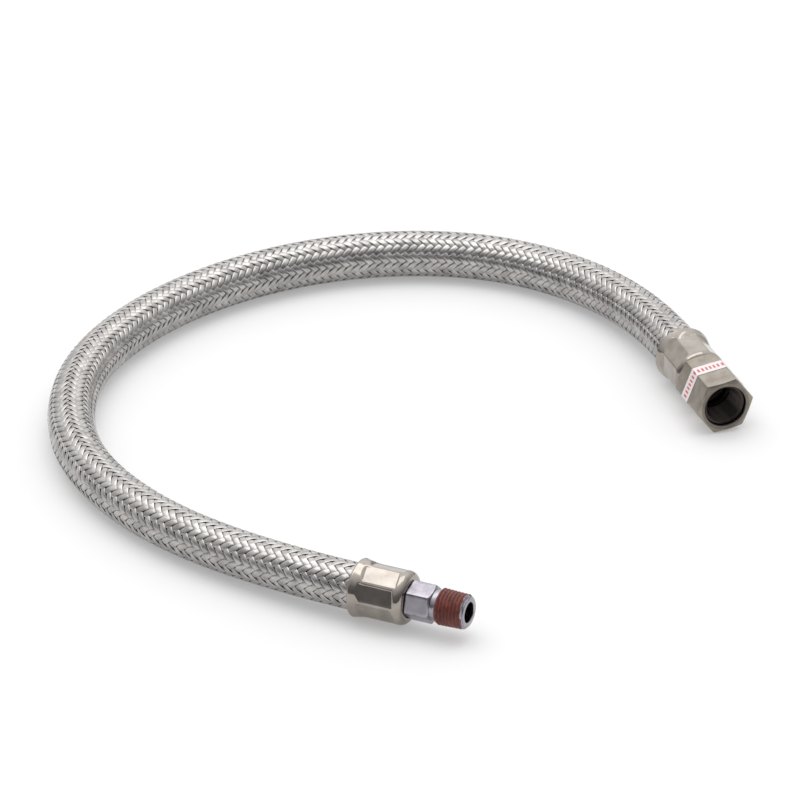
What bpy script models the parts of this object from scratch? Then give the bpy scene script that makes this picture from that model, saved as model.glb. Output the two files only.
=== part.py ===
"""Gas hose for a propane regulator: a steel-braided rubber hose with a crimped end at each side.

One end is a fixed stem with a wrench hexagon and a tapered male pipe thread. The other end is a
flared stem that carries a loose swivel nut. The hose lies on the floor in one open loop.

Frame: +Z is up, the floor is z = 0, and -Y points out of the swivel nut's mouth. The origin is on
the floor, halfway between the two end fittings. Each fitting is built along its own +Z, from the
plane where the hose enters its ferrule, and is then laid down along its axis.
"""

import math

import bmesh
import bpy
import numpy as np
from mathutils import Matrix, Vector

MM = 0.001
INCH = 25.4 * MM

# Gap left between two pieces that touch on the real hose.
GAP = 0.3 * MM

# Hose: four layers, from the steel braid inwards.
HOSE_RADIUS = 9.25 * MM
BRAID_WALL = 0.8 * MM
COVER_WALL = 1.0 * MM
REINFORCEMENT_WALL = 0.5 * MM
LINER_WALL = 1.3 * MM
HOSE_SIDES = 12
STATION_SPACING = 2.0 * 2 * HOSE_RADIUS
STRAIGHT_LEAD = 3.0 * MM
CRIMPED_SCALE = 0.955

# Ferrules: pressed sleeves with eight crimp flats and a flared mouth for the hose.
FERRULE_LENGTH = 22.0 * MM
FERRULE_FLARE_START = 3.9 * MM
FERRULE_CRIMP_BLEND = 1.8 * MM
MALE_CRIMP_SPAN = (4.7 * MM, 18.2 * MM)
SWIVEL_CRIMP_SPAN = (5.2 * MM, 18.8 * MM)
FERRULE_RIM_RADIUS = HOSE_RADIUS + 2.15 * MM
FERRULE_RIM_EDGE = 0.5 * MM
FERRULE_FLARE_RADIUS = HOSE_RADIUS + 1.6 * MM
FERRULE_BODY_RADIUS = HOSE_RADIUS + 1.25 * MM
FERRULE_FLAT_APOTHEM = HOSE_RADIUS + 0.55 * MM
FERRULE_RIDGE_RADIUS = HOSE_RADIUS + 1.4 * MM
FERRULE_NOSE_DROP = 2.9 * MM
FERRULE_NOSE_RADIUS = FERRULE_BODY_RADIUS - FERRULE_NOSE_DROP
FERRULE_NOSE_LENGTH = 2.6 * MM
FERRULE_NOSE_WALL = 1.3 * MM
CRIMP_FLATS = 8
CRIMP_RIDGE_HALF_ANGLE = math.radians(5.0)

# Stems: one bore runs through the barb, and both necks pass the ferrules' noses.
NECK_RADIUS = 6.0 * MM
LOCK_GROOVE_DEPTH = 0.6 * MM
LOCK_GROOVE_WIDTH = 1.0 * MM
STEM_BORE_RADIUS = 3.2 * MM
BARB_HEIGHT = 0.35 * MM
BARB_PITCH = 3.2 * MM
BARB_COUNT = 5
BARB_TIP_SETBACK = 2.2 * MM

# Male end: 1/4-18 tapered pipe thread on a 17/32 in hexagon.
MALE_HEX_FLATS = 13.5 * MM
MALE_HEX_LENGTH = 9.8 * MM
MALE_HEX_CHAMFER = 0.45 * MM
MALE_RELIEF_RADIUS = 6.6 * MM
MALE_RELIEF_LENGTH = 1.9 * MM
MALE_THREAD_LENGTH = 11.9 * MM
MALE_THREAD_END_RADIUS = 6.7 * MM
MALE_THREAD_TAPER = 1 / 32
MALE_THREAD_CHAMFER = 0.9 * MM
MALE_BORE_RADIUS = 4.0 * MM
MALE_BORE_DEPTH = 20.0 * MM

# Female end: a 13/16 in swivel nut with a 5/8-18 thread, over a stem with a 45 degree flare seat.
NUT_HEX_FLATS = 20.64 * MM
NUT_LENGTH = 25.0 * MM
NUT_FRONT_CHAMFER_RADIUS = 9.65 * MM
NUT_CHAMFER_SLOPE = math.tan(math.radians(20.0))
NUT_BACK_WALL = 3.3 * MM
NUT_MOUTH_RADIUS = 8.3 * MM
NUT_THREAD_RADIUS = 7.94 * MM
NUT_THREAD_DEPTH = 14.0 * MM
NUT_FLOAT = 0.4 * MM
FLARE_RADIUS = 6.85 * MM
FLARE_THICKNESS = 3.0 * MM
FLARE_SEAT_DEPTH = 2.2 * MM

# Both threads have 18 turns to the inch.
THREAD_PITCH = INCH / 18
THREAD_HEIGHT = 0.95 * MM
THREAD_CREST_WIDTH = 0.3 * MM
THREAD_ROOT_GAP = 0.18 * MM
THREAD_ROOT_OVERLAP = 0.15 * MM
THREAD_STEPS = 18

# Printed band round the middle of the nut.
LABEL_WALL = 0.2 * MM
LABEL_WIDTH = 6.0 * MM
LABEL_SETBACK = 11.2 * MM
LABEL_CORNER_GAP = 0.12 * MM
LABEL_CORNER_WALL = 0.16 * MM

ROUND_SIDES = 24
AXIS_MARK_SIZE = 5 * MM

# Turn of each fitting about its axis, from straight up towards its right-hand side.
MALE_HEX_ROLL = math.radians(-14.6)
MALE_FERRULE_ROLL = math.radians(2.0)
NUT_ROLL = math.radians(38.0)
SWIVEL_FERRULE_ROLL = math.radians(22.5)

# Direction of each fitting: heading from +X towards +Y, and rise above the floor.
MALE_HEADING = math.radians(-45.5)
MALE_RISE = math.radians(0.4)
SWIVEL_HEADING = math.radians(-90.0)
SWIVEL_RISE = 0.0

# The hose's route over the floor, from the male ferrule's mouth to the swivel ferrule's mouth.
RESTING = HOSE_RADIUS
LIFTED = FERRULE_RIM_RADIUS
ROUTE = [
    (-93.0 * MM, -49.5 * MM, LIFTED),
    (-119.0 * MM, -18 * MM, RESTING + 1.1 * MM),
    (-139.5 * MM, 14 * MM, RESTING + 0.35 * MM),
    (-153.5 * MM, 49.5 * MM, RESTING),
    (-158.0 * MM, 88.5 * MM, RESTING),
    (-149.5 * MM, 127.5 * MM, RESTING),
    (-130.0 * MM, 161 * MM, RESTING),
    (-101.0 * MM, 187 * MM, RESTING),
    (-66.0 * MM, 204.5 * MM, RESTING),
    (-27.5 * MM, 212.5 * MM, RESTING),
    (11.5 * MM, 209 * MM, RESTING),
    (46.5 * MM, 193 * MM, RESTING),
    (72.0 * MM, 165 * MM, RESTING + 0.2 * MM),
    (85.5 * MM, 129 * MM, RESTING + 1.3 * MM),
    (89.0 * MM, 86.2 * MM, LIFTED),
]

# Sizes that follow from the ones above.
NOSE_BORE_RADIUS = NECK_RADIUS + GAP
COVER_RADIUS = HOSE_RADIUS - BRAID_WALL - GAP
REINFORCEMENT_RADIUS = COVER_RADIUS - COVER_WALL - GAP
LINER_RADIUS = REINFORCEMENT_RADIUS - REINFORCEMENT_WALL - GAP
CRIMPED_BORE_RADIUS = LINER_RADIUS * CRIMPED_SCALE - LINER_WALL
BARB_RADIUS = CRIMPED_BORE_RADIUS * math.cos(math.pi / HOSE_SIDES) - 0.8 * GAP
HOSE_INSERTION = FERRULE_LENGTH - FERRULE_NOSE_WALL - LOCK_GROOVE_WIDTH - GAP


# ---------------------------------------------------------------- helpers


def clear_scene():
    """Removes the objects of the startup scene."""
    for obj in list(bpy.data.objects):
        bpy.data.objects.remove(obj, do_unlink=True)


def make_material(name, colour, roughness, metallic):
    """A Principled material; colour is linear red, green and blue."""
    material = bpy.data.materials.new(name)
    material.use_nodes = True
    shader = material.node_tree.nodes["Principled BSDF"]
    shader.inputs["Base Color"].default_value = (*colour, 1.0)
    shader.inputs["Roughness"].default_value = roughness
    shader.inputs["Metallic"].default_value = metallic
    return material


def axis_vector(heading, rise):
    """Unit vector with this heading over the floor and this rise above it."""
    level = math.cos(rise)
    return Vector((math.cos(heading) * level, math.sin(heading) * level, math.sin(rise)))


def lay_along(origin, heading, rise):
    """Placement of a fitting: its +Z lies along the axis, and its +Y is the upper side."""
    out = axis_vector(heading, rise)
    right = out.cross(Vector((0, 0, 1))).normalized()
    up = right.cross(out)
    turn = Matrix((right, up, out)).transposed().to_4x4()
    return Matrix.Translation(Vector(origin)) @ turn


def fitting_empty(name, origin, heading, rise):
    """An empty on a fitting's axis, at the mouth of its ferrule."""
    empty = bpy.data.objects.new(name, None)
    empty.empty_display_size = AXIS_MARK_SIZE
    empty.matrix_world = lay_along(origin, heading, rise)
    bpy.context.scene.collection.objects.link(empty)
    return empty


def add_object(name, mesh, material, parent=None):
    """Puts a mesh into the scene, shaded smooth where its faces nearly line up."""
    obj = bpy.data.objects.new(name, mesh)
    obj.data.materials.append(material)
    bpy.context.scene.collection.objects.link(obj)
    if parent is not None:
        obj.parent = parent
    mesh.shade_smooth()
    mesh.set_sharp_from_angle(angle=math.radians(32))
    return obj


def even_angles(count, roll=0.0):
    """Angles round the axis, counted from the upper side towards the right-hand side."""
    return [roll + 2 * math.pi * k / count for k in range(count)]


def round_loop(z, radius, angles):
    """One circle of points round the axis."""
    return [(radius * math.sin(a), radius * math.cos(a), z) for a in angles]


def polygon_loop(z, apothem, sides, corner_angle, limit, angles):
    """A regular polygon's outline, cut back to a circle of radius limit at its corners."""
    half = math.pi / sides
    points = []
    for angle in angles:
        from_flat = (angle - corner_angle) % (2 * half) - half
        radius = min(apothem / math.cos(from_flat), limit)
        points.append((radius * math.sin(angle), radius * math.cos(angle), z))
    return points


def ring_mesh(name, loops):
    """A closed ring-shaped mesh: neighbouring loops are bridged, and the last joins the first."""
    count = len(loops[0])
    edit = bmesh.new()
    rows = [[edit.verts.new(point) for point in loop] for loop in loops]
    for row, following in zip(rows, rows[1:] + rows[:1]):
        for k in range(count):
            after = (k + 1) % count
            edit.faces.new((row[k], row[after], following[after], following[k]))
    bmesh.ops.recalc_face_normals(edit, faces=edit.faces)
    mesh = bpy.data.meshes.new(name)
    edit.to_mesh(mesh)
    edit.free()
    return mesh


def thread_ridge_mesh(name, z_start, z_end, crest_radius, taper, height):
    """A helical ridge of trapezoid section. A negative height makes the groove of a nut.

    The crest radius holds at z_start and shrinks by taper for each unit of height towards z_end.
    """
    turns = (z_end - z_start) / THREAD_PITCH
    steps = round(turns * THREAD_STEPS)
    foot = THREAD_PITCH / 2 - THREAD_ROOT_GAP
    crest = THREAD_CREST_WIDTH / 2
    sign = math.copysign(1.0, height)
    drop = height + sign * THREAD_ROOT_OVERLAP
    section = [(-foot, -drop), (-crest, 0.0), (crest, 0.0), (foot, -drop)]
    edit = bmesh.new()
    rows = []
    for step in range(steps + 1):
        angle = 2 * math.pi * step / THREAD_STEPS
        z = z_start + THREAD_PITCH * step / THREAD_STEPS
        radius = crest_radius - taper * (z - z_start)
        row = []
        for along, out in section:
            r = radius + out
            row.append(edit.verts.new((r * math.sin(angle), r * math.cos(angle), z + along)))
        rows.append(row)
    for row, following in zip(rows, rows[1:]):
        for k in range(len(section)):
            after = (k + 1) % len(section)
            edit.faces.new((row[k], row[after], following[after], following[k]))
    edit.faces.new(rows[0])
    edit.faces.new(rows[-1][::-1])
    bmesh.ops.recalc_face_normals(edit, faces=edit.faces)
    mesh = bpy.data.meshes.new(name)
    edit.to_mesh(mesh)
    edit.free()
    return mesh


def cut_or_join(target, tool_mesh, operation):
    """Joins a helper mesh to a piece or cuts it out, with a live Boolean modifier."""
    tool = bpy.data.objects.new(tool_mesh.name, tool_mesh)
    bpy.context.scene.collection.objects.link(tool)
    tool.parent = target.parent
    tool.hide_render = True
    tool.display_type = "WIRE"
    modifier = target.modifiers.new(operation.title(), "BOOLEAN")
    modifier.operation = operation
    modifier.solver = "EXACT"
    modifier.object = tool


# ---------------------------------------------------------------- the route


def smooth_route(points, start_direction, end_direction):
    """The smooth curve through the route's points, as a function of distance.

    It is a cubic spline: neighbouring stretches share their slope and their bend at each point,
    and it leaves and arrives along the two fittings' axes.
    """
    knots = np.array(points)
    gaps = np.linalg.norm(np.diff(knots, axis=0), axis=1)
    at = np.concatenate([[0.0], np.cumsum(gaps)])
    count = len(knots)
    system = np.zeros((count, count))
    wanted = np.zeros((count, 3))
    system[0, 0] = system[-1, -1] = 1.0
    wanted[0] = start_direction
    wanted[-1] = end_direction
    rises = np.diff(knots, axis=0) / gaps[:, None]
    for k in range(1, count - 1):
        system[k, k - 1] = 1 / gaps[k - 1]
        system[k, k] = 2 / gaps[k - 1] + 2 / gaps[k]
        system[k, k + 1] = 1 / gaps[k]
        wanted[k] = 3 * (rises[k - 1] / gaps[k - 1] + rises[k] / gaps[k])
    slopes = np.linalg.solve(system, wanted)

    def place(distances):
        distances = np.atleast_1d(distances)
        k = np.clip(np.searchsorted(at, distances, side="right") - 1, 0, count - 2)
        h = gaps[k][:, None]
        t = (distances - at[k])[:, None] / h
        return (
            (2 * t**3 - 3 * t**2 + 1) * knots[k]
            + (t**3 - 2 * t**2 + t) * h * slopes[k]
            + (3 * t**2 - 2 * t**3) * knots[k + 1]
            + (t**3 - t**2) * h * slopes[k + 1]
        )

    return place, at[-1]


def hose_stations():
    """Points of the hose's centre line, from its end in one ferrule to its end in the other."""
    male_out = np.array(axis_vector(MALE_HEADING, MALE_RISE))
    swivel_out = np.array(axis_vector(SWIVEL_HEADING, SWIVEL_RISE))
    place, length = smooth_route(ROUTE, -male_out, swivel_out)
    fine = place(np.linspace(0, length, 600))
    travelled = np.concatenate([[0], np.cumsum(np.linalg.norm(np.diff(fine, axis=0), axis=1))])
    free = travelled[-1] - 2 * STRAIGHT_LEAD
    count = round(free / STATION_SPACING)
    wanted = STRAIGHT_LEAD + np.linspace(0, free, count + 1)
    middle = np.stack([np.interp(wanted, travelled, fine[:, k]) for k in range(3)], axis=1)
    start = fine[0] + HOSE_INSERTION * male_out
    end = fine[-1] + HOSE_INSERTION * swivel_out
    total = travelled[-1] + 2 * HOSE_INSERTION
    print(f"hose length {total / MM:.1f} mm, {len(middle) + 2} stations")
    return np.vstack([start, middle, end])


# ---------------------------------------------------------------- pieces


def make_hose_layer(name, stations, radius, wall, material):
    """One layer of the hose: an open tube along the route, thickened inwards.

    The crimp squeezes it a little narrower towards its two ends.
    """
    curve = bpy.data.curves.new(name, "CURVE")
    curve.dimensions = "3D"
    curve.bevel_depth = radius
    curve.bevel_resolution = (HOSE_SIDES - 4) // 2
    curve.use_fill_caps = False
    spline = curve.splines.new("POLY")
    spline.points.add(len(stations) - 1)
    for point, place in zip(spline.points, stations):
        point.co = (*place, 1.0)
    spline.points[0].radius = CRIMPED_SCALE
    spline.points[-1].radius = CRIMPED_SCALE
    curve.materials.append(material)
    layer = bpy.data.objects.new(name, curve)
    bpy.context.scene.collection.objects.link(layer)
    thicken = layer.modifiers.new("Wall", "SOLIDIFY")
    thicken.thickness = wall
    thicken.offset = -1.0
    thicken.use_even_offset = False
    return layer


def ferrule_angles(roll):
    """Four angles for each crimp flat: the ridge, its two feet and the middle of the flat."""
    step = 2 * math.pi / CRIMP_FLATS
    offsets = (0.0, CRIMP_RIDGE_HALF_ANGLE, step / 2, step - CRIMP_RIDGE_HALF_ANGLE)
    return [roll + step * k + offset for k in range(CRIMP_FLATS) for offset in offsets]


def crimped_loop(z, angles):
    """The crimped stretch's outline: eight flats, with a raised ridge where two dies met."""
    ridge = FERRULE_RIDGE_RADIUS
    points = polygon_loop(z, FERRULE_FLAT_APOTHEM, CRIMP_FLATS, angles[0], ridge, angles)
    for k in range(0, len(angles), 4):
        points[k] = (ridge * math.sin(angles[k]), ridge * math.cos(angles[k]), z)
    return points


def ferrule_bore(z):
    """Radius of a ferrule's bore, which keeps its gap to the narrowing hose."""
    narrowing = (1 - CRIMPED_SCALE) * (z + STRAIGHT_LEAD) / (HOSE_INSERTION + STRAIGHT_LEAD)
    return HOSE_RADIUS * (1 - narrowing) + GAP


def make_ferrule(name, crimp_span, roll, material, parent):
    """The pressed sleeve that squeezes the hose onto its stem."""
    crimp_start, crimp_end = crimp_span
    angles = ferrule_angles(roll)
    length = FERRULE_LENGTH
    nose = FERRULE_NOSE_RADIUS
    body = FERRULE_BODY_RADIUS
    shoulder = body - nose
    nose_start = length - FERRULE_NOSE_LENGTH
    inside = length - FERRULE_NOSE_WALL
    mouth_radius = FERRULE_RIM_RADIUS - 2 * FERRULE_RIM_EDGE
    loops = [
        round_loop(length, NOSE_BORE_RADIUS, angles),
        round_loop(length, nose, angles),
        round_loop(length - 0.12 * FERRULE_NOSE_LENGTH, nose + 0.4 * shoulder, angles),
        round_loop(length - 0.45 * FERRULE_NOSE_LENGTH, nose + 0.8 * shoulder, angles),
        round_loop(nose_start, body, angles),
        crimped_loop(crimp_end, angles),
        crimped_loop(crimp_start, angles),
        round_loop(crimp_start - FERRULE_CRIMP_BLEND, FERRULE_FLARE_RADIUS, angles),
        round_loop(3 * FERRULE_RIM_EDGE, FERRULE_RIM_RADIUS - 0.3 * FERRULE_RIM_EDGE, angles),
        round_loop(FERRULE_RIM_EDGE, FERRULE_RIM_RADIUS, angles),
        round_loop(0.0, FERRULE_RIM_RADIUS - FERRULE_RIM_EDGE, angles),
        round_loop(0.0, mouth_radius, angles),
        round_loop(FERRULE_FLARE_START, ferrule_bore(FERRULE_FLARE_START), angles),
        round_loop(inside, ferrule_bore(inside), angles),
        round_loop(inside, NOSE_BORE_RADIUS, angles),
    ]
    return add_object(name, ring_mesh(name, loops), material, parent)


def stem_tail_loops(angles):
    """The part of a stem inside the ferrule, from its lock groove down to the barb's tip."""
    top = FERRULE_LENGTH - FERRULE_NOSE_WALL
    groove = NECK_RADIUS - LOCK_GROOVE_DEPTH
    first_barb = top - LOCK_GROOVE_WIDTH
    root = BARB_RADIUS - BARB_HEIGHT
    loops = [
        round_loop(top, NECK_RADIUS, angles),
        round_loop(top, groove, angles),
        round_loop(first_barb, groove, angles),
        round_loop(first_barb, root, angles),
    ]
    for k in range(BARB_COUNT):
        z = first_barb - (k + 0.4) * BARB_PITCH
        loops.append(round_loop(z, BARB_RADIUS, angles))
        loops.append(round_loop(z - 0.6 * BARB_PITCH, root, angles))
    loops.append(round_loop(BARB_TIP_SETBACK, root, angles))
    loops.append(round_loop(BARB_TIP_SETBACK, STEM_BORE_RADIUS, angles))
    return loops


def make_male_stem(material, parent):
    """Barb, lock groove, hexagon and tapered pipe thread, turned from one bar."""
    angles = even_angles(ROUND_SIDES, MALE_HEX_ROLL)
    hex_start = FERRULE_LENGTH + GAP
    hex_end = hex_start + MALE_HEX_LENGTH
    thread_start = hex_end + MALE_RELIEF_LENGTH
    end = thread_start + MALE_THREAD_LENGTH
    crest = MALE_THREAD_END_RADIUS + MALE_THREAD_TAPER * MALE_THREAD_LENGTH
    root_start = crest - THREAD_HEIGHT
    root_end = MALE_THREAD_END_RADIUS - THREAD_HEIGHT
    apothem = MALE_HEX_FLATS / 2
    corner = apothem / math.cos(math.pi / 6)

    def hexagon(z, limit):
        return polygon_loop(z, apothem, 6, angles[0], limit, angles)

    loops = [
        round_loop(end - MALE_BORE_DEPTH - MALE_BORE_RADIUS / 4, STEM_BORE_RADIUS, angles),
        round_loop(end - MALE_BORE_DEPTH, MALE_BORE_RADIUS, angles),
        round_loop(end, MALE_BORE_RADIUS, angles),
        round_loop(end, root_end, angles),
        round_loop(thread_start, root_start, angles),
        round_loop(thread_start, MALE_RELIEF_RADIUS, angles),
        round_loop(hex_end, MALE_RELIEF_RADIUS, angles),
        hexagon(hex_end, apothem),
        hexagon(hex_end - MALE_HEX_CHAMFER, corner),
        hexagon(hex_start + MALE_HEX_CHAMFER, corner),
        hexagon(hex_start, apothem),
        round_loop(hex_start, NECK_RADIUS, angles),
    ]
    loops += stem_tail_loops(angles)
    stem = add_object("male_stem", ring_mesh("male_stem", loops), material, parent)
    ridge = thread_ridge_mesh(
        "male_thread_ridge",
        thread_start + THREAD_PITCH / 2,
        end - MALE_THREAD_CHAMFER,
        crest,
        MALE_THREAD_TAPER,
        THREAD_HEIGHT,
    )
    cut_or_join(stem, ridge, "UNION")
    return stem


def swivel_positions():
    """Heights of the nut's back and front and of the flare, above the ferrule's mouth."""
    nut_back = FERRULE_LENGTH + NUT_FLOAT
    nut_front = nut_back + NUT_LENGTH
    flare_back = nut_back + NUT_BACK_WALL + GAP
    return nut_back, nut_front, flare_back


def make_swivel_stem(material, parent):
    """Barb, lock groove, smooth neck and the flared head with its 45 degree seat."""
    angles = even_angles(ROUND_SIDES)
    _, _, flare_back = swivel_positions()
    flare_front = flare_back + FLARE_THICKNESS
    loops = [
        round_loop(flare_front - FLARE_SEAT_DEPTH, STEM_BORE_RADIUS, angles),
        round_loop(flare_front, STEM_BORE_RADIUS + FLARE_SEAT_DEPTH, angles),
        round_loop(flare_front, FLARE_RADIUS - GAP, angles),
        round_loop(flare_front - GAP, FLARE_RADIUS, angles),
        round_loop(flare_back, FLARE_RADIUS, angles),
        round_loop(flare_back, NECK_RADIUS, angles),
    ]
    loops += stem_tail_loops(angles)
    return add_object("swivel_stem", ring_mesh("swivel_stem", loops), material, parent)


def make_swivel_nut(material, parent):
    """The long hexagon nut, held on the stem by its back wall, with its internal thread."""
    angles = even_angles(ROUND_SIDES, NUT_ROLL)
    back, front, _ = swivel_positions()
    apothem = NUT_HEX_FLATS / 2
    corner = apothem / math.cos(math.pi / 6)
    chamfer = (corner - NUT_FRONT_CHAMFER_RADIUS) * NUT_CHAMFER_SLOPE
    flat_chamfer = (apothem - NUT_FRONT_CHAMFER_RADIUS) * NUT_CHAMFER_SLOPE
    bore = NUT_THREAD_RADIUS - THREAD_HEIGHT + THREAD_ROOT_OVERLAP
    mouth_depth = NUT_MOUTH_RADIUS - bore

    def chamfered(z, towards):
        """The hexagon where the cone of the corner chamfer cuts it."""
        points = polygon_loop(z, apothem, 6, angles[0], corner, angles)
        radii = [math.hypot(x, y) for x, y, _ in points]
        cut = [(r - NUT_FRONT_CHAMFER_RADIUS) * NUT_CHAMFER_SLOPE for r in radii]
        return [(x, y, z - towards * c) for (x, y, _), c in zip(points, cut)]

    loops = [
        round_loop(front, NUT_MOUTH_RADIUS, angles),
        round_loop(front, NUT_FRONT_CHAMFER_RADIUS, angles),
        chamfered(front, 1),
        chamfered(back, -1),
        round_loop(back, NUT_FRONT_CHAMFER_RADIUS, angles),
        round_loop(back, NOSE_BORE_RADIUS, angles),
        round_loop(back + NUT_BACK_WALL, NOSE_BORE_RADIUS, angles),
        round_loop(back + NUT_BACK_WALL, bore, angles),
        round_loop(front - mouth_depth, bore, angles),
    ]
    print(f"nut chamfer {chamfer / MM:.2f} mm at the corners, {flat_chamfer / MM:.2f} mm at the flats")
    nut = add_object("swivel_nut", ring_mesh("swivel_nut", loops), material, parent)
    groove = thread_ridge_mesh(
        "nut_thread_groove",
        front - NUT_THREAD_DEPTH,
        front - mouth_depth,
        NUT_THREAD_RADIUS,
        0.0,
        THREAD_HEIGHT - THREAD_ROOT_OVERLAP,
    )
    cut_or_join(nut, groove, "DIFFERENCE")
    return nut


def make_nut_label(material, parent):
    """The printed band that is wrapped round the nut's six flats."""
    angles = even_angles(ROUND_SIDES, NUT_ROLL)
    _, front, _ = swivel_positions()
    top = front - LABEL_SETBACK
    bottom = top - LABEL_WIDTH
    inner = NUT_HEX_FLATS / 2 + GAP
    outer = inner + LABEL_WALL
    inner_corner = NUT_HEX_FLATS / 2 / math.cos(math.pi / 6) + LABEL_CORNER_GAP
    outer_corner = inner_corner + LABEL_CORNER_WALL

    def hexagon(z, apothem, corner):
        return polygon_loop(z, apothem, 6, angles[0], corner, angles)

    loops = [
        hexagon(top, inner, inner_corner),
        hexagon(top, outer, outer_corner),
        hexagon(bottom, outer, outer_corner),
        hexagon(bottom, inner, inner_corner),
    ]
    return add_object("nut_label", ring_mesh("nut_label", loops), material, parent)


def main():
    clear_scene()
    stainless = make_material("stainless_braid", (0.62, 0.61, 0.60), 0.25, 1.0)
    cover_rubber = make_material("black_rubber_cover", (0.02, 0.02, 0.02), 0.7, 0.0)
    textile = make_material("textile_yarn", (0.55, 0.5, 0.4), 0.9, 0.0)
    liner_rubber = make_material("nitrile_liner", (0.03, 0.03, 0.035), 0.6, 0.0)
    nickel = make_material("nickel_ferrule", (0.55, 0.52, 0.48), 0.2, 1.0)
    zinc = make_material("zinc_steel", (0.6, 0.59, 0.62), 0.35, 1.0)
    grey_steel = make_material("satin_steel", (0.4, 0.38, 0.35), 0.4, 1.0)
    paper = make_material("printed_label", (0.85, 0.82, 0.84), 0.55, 0.0)

    stations = hose_stations()
    make_hose_layer("steel_overbraid", stations, HOSE_RADIUS, BRAID_WALL, stainless)
    make_hose_layer("hose_cover", stations, COVER_RADIUS, COVER_WALL, cover_rubber)
    make_hose_layer(
        "hose_reinforcement", stations, REINFORCEMENT_RADIUS, REINFORCEMENT_WALL, textile
    )
    make_hose_layer("hose_liner", stations, LINER_RADIUS, LINER_WALL, liner_rubber)

    male_axis = fitting_empty("male_axis", ROUTE[0], MALE_HEADING, MALE_RISE)
    make_ferrule("male_ferrule", MALE_CRIMP_SPAN, MALE_FERRULE_ROLL, nickel, male_axis)
    make_male_stem(zinc, male_axis)

    swivel_axis = fitting_empty("swivel_axis", ROUTE[-1], SWIVEL_HEADING, SWIVEL_RISE)
    make_ferrule("swivel_ferrule", SWIVEL_CRIMP_SPAN, SWIVEL_FERRULE_ROLL, nickel, swivel_axis)
    make_swivel_stem(grey_steel, swivel_axis)
    make_swivel_nut(grey_steel, swivel_axis)
    make_nut_label(paper, swivel_axis)


main()
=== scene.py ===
# %% [markdown]
# # A braided gas hose, dressed over its solid model
#
# The solid model gives every piece its place and size. This script gives each visible piece its
# real surface: wires that pass over and under each other, pressed flats, cut threads, a smear of
# thread sealant. Each shape is worked out with numpy as whole arrays of points, and then handed
# to Blender as a mesh. All lengths are in metres, in the solid model's own frame: +Z is up, and
# the floor is z = 0.

import math

import bpy
import numpy as np
from mathutils import Matrix


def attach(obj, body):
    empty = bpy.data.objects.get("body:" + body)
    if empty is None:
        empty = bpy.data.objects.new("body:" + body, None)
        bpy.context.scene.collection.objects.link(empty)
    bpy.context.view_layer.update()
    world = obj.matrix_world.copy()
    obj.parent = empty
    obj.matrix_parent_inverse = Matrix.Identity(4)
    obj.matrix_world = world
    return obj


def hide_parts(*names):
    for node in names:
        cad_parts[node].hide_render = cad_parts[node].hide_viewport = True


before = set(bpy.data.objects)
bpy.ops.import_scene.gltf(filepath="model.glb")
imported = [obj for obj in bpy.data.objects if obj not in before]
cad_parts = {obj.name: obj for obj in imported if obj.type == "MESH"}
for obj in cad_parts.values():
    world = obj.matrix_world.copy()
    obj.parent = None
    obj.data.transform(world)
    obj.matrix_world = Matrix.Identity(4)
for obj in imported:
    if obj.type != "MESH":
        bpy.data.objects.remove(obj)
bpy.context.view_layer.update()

MM = 0.001
STEMS_BODY = "hose_with_stems"
NUT_BODY = "loose_nut"

# %% [markdown]
# ## The camera
#
# A camera is placed by three things: where it stands, where it points and how long its lens is.
# The rims of the nut and of the pipe thread are circles, so how much they are squashed in the
# picture tells the height of the view: 28 degrees above the floor. A long lens from 3.6 m keeps
# parallel edges parallel. A constraint could point it, but its three axes are easy to write down.

# %% Camera
CAMERA_ELEVATION = math.radians(28.0)
CAMERA_TURN = math.radians(19.5)
CAMERA_DISTANCE = 3.6
CAMERA_AIM = np.array([-21.4, 106.5, 0.0]) * MM
LENS_MM = 413.1
SENSOR_MM = 36.0
FARTHEST_SEEN = 50.0


def camera_axes(turn, elevation):
    """Right, up and backward unit vectors of a level camera that looks down at this elevation."""
    right = np.array([math.cos(turn), -math.sin(turn), 0.0])
    level = np.array([math.sin(turn), math.cos(turn), 0.0])
    upward = np.array([0.0, 0.0, 1.0])
    up = level * math.sin(elevation) + upward * math.cos(elevation)
    backward = -level * math.cos(elevation) + upward * math.sin(elevation)
    return right, up, backward


right, up, backward = camera_axes(CAMERA_TURN, CAMERA_ELEVATION)
camera_data = bpy.data.cameras.new("photo_camera")
camera_data.lens = LENS_MM
camera_data.sensor_width = SENSOR_MM
camera_data.clip_end = FARTHEST_SEEN
camera = bpy.data.objects.new("photo_camera", camera_data)
pose = np.eye(4)
pose[:3, :3] = np.stack([right, up, backward], axis=1)
pose[:3, 3] = CAMERA_AIM + CAMERA_DISTANCE * backward
camera.matrix_world = Matrix(pose.tolist())
bpy.context.scene.collection.objects.link(camera)
bpy.context.scene.camera = camera
print("camera stands at", np.round(pose[:3, 3], 3))

# %% [markdown]
# ## Materials made from nodes
#
# A Blender material is a graph: small nodes feed the Principled shader, which mixes reflection
# and body colour. Two helpers are enough. One turns the hex colours that painters and web pages
# use into the linear light values that the renderer adds up. The other puts a node into the
# graph and links it, so that each material below reads as a short list.

# %% Colour and node helpers


def linear(code):
    """Linear red, green, blue and alpha 1 of an sRGB hex code: ((c + 0.055) / 1.055) ** 2.4."""
    parts = np.array([int(code[k : k + 2], 16) for k in (1, 3, 5)]) / 255
    low = parts / 12.92
    high = ((parts + 0.055) / 1.055) ** 2.4
    return (*np.where(parts <= 0.04045, low, high).tolist(), 1.0)


def add(tree, kind, inputs=None, **settings):
    """Adds a node. inputs maps a socket to a value, or to the socket that is linked into it."""
    made = tree.nodes.new(kind)
    for key, value in settings.items():
        setattr(made, key, value)
    for key, value in (inputs or {}).items():
        if isinstance(value, bpy.types.NodeSocket):
            tree.links.new(value, made.inputs[key])
        else:
            made.inputs[key].default_value = value
    return made


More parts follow.
